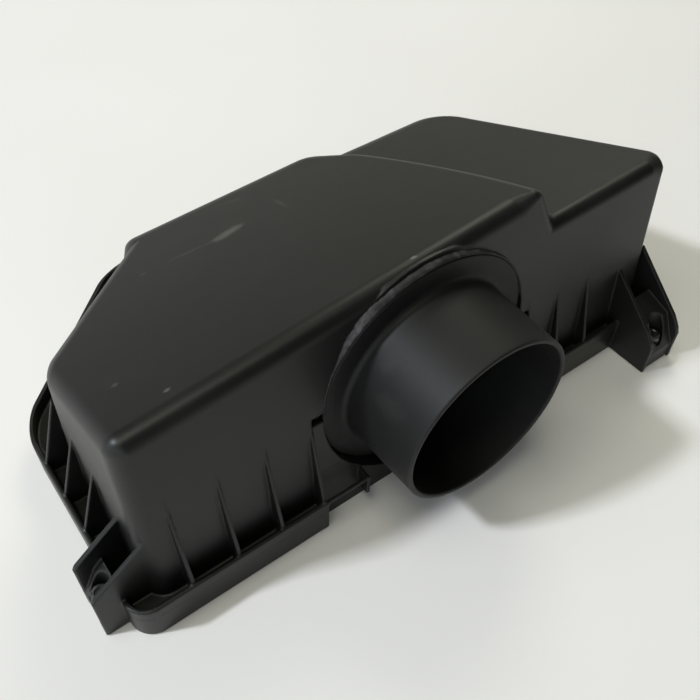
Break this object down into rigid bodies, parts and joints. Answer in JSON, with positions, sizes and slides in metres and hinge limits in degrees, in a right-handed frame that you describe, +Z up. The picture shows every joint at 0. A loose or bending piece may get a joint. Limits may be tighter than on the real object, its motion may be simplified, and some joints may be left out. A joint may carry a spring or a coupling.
{
  "type": "air filter housing",
  "caption": "Moulded upper half of an airbox with a stepped dome, flanged ribbed rim, round outlet spigot, captive screws and a pleated panel filter.",
  "frame": {"origin": "under the middle of the overall bounding box, on the plane of the skirt's bottom edge", "axes": "+Z up out of the dome, -Y along the outlet spigot towards its mouth, +X towards the lower rear end of the dome"},
  "size_m": [0.3102, 0.215, 0.1149],
  "materials": {
    "black_polypropylene": "satin",
    "black_spigot_plastic": "satin",
    "grey_bonding_resin": "matte",
    "filter_paper": "matte",
    "orange_urethane": "matte",
    "hot_melt": "satin",
    "dark_zinc_steel": "satin",
    "passivated_sleeve_steel": "satin",
    "black_nylon": "matte"
  },
  "bodies": {
    "filter": {"filter_seal": "orange_urethane", "filter_media": "filter_paper", "filter_spacer_1": "hot_melt", "filter_spacer_2": "hot_melt", "filter_spacer_3": "hot_melt"},
    "cover": {"cover_shell": "black_polypropylene", "outlet_spigot": "black_spigot_plastic", "spigot_bond_ring": "grey_bonding_resin", "screw_sleeve_left": "passivated_sleeve_steel", "screw_sleeve_right": "passivated_sleeve_steel", "screw_sleeve_far": "passivated_sleeve_steel", "screw_keeper_left": "black_nylon", "screw_keeper_right": "black_nylon", "screw_keeper_far": "black_nylon"},
    "washer_left": {"screw_washer_left": "dark_zinc_steel"},
    "screw_left": {"screw_left": "dark_zinc_steel"},
    "washer_right": {"screw_washer_right": "dark_zinc_steel"},
    "screw_right": {"screw_right": "dark_zinc_steel"},
    "washer_far": {"screw_washer_far": "dark_zinc_steel"},
    "screw_far": {"screw_far": "dark_zinc_steel"}
  },
  "joints": [
    {"name": "cover_lift", "type": "slide", "parent": "filter", "child": "cover", "axis": [0, 0, 1], "range_m": [0, 0.12]},
    {"name": "screw_slide_left", "type": "slide", "parent": "cover", "child": "washer_left", "axis": [0, 0, 1], "range_m": [-0.006, 0]},
    {"name": "screw_turn_left", "type": "hinge", "parent": "washer_left", "child": "screw_left", "pos_m": [-0.1502, -0.06115, 0.0125], "axis": [0, 0, 1], "continuous": true},
    {"name": "screw_slide_right", "type": "slide", "parent": "cover", "child": "washer_right", "axis": [0, 0, 1], "range_m": [-0.006, 0]},
    {"name": "screw_turn_right", "type": "hinge", "parent": "washer_right", "child": "screw_right", "pos_m": [0.12855, -0.09515, 0.0125], "axis": [0, 0, 1], "continuous": true},
    {"name": "screw_slide_far", "type": "slide", "parent": "cover", "child": "washer_far", "axis": [0, 0, 1], "range_m": [-0.006, 0]},
    {"name": "screw_turn_far", "type": "hinge", "parent": "washer_far", "child": "screw_far", "pos_m": [0.1502, 0.04845, 0.0125], "axis": [0, 0, 1], "continuous": true}
  ]
}
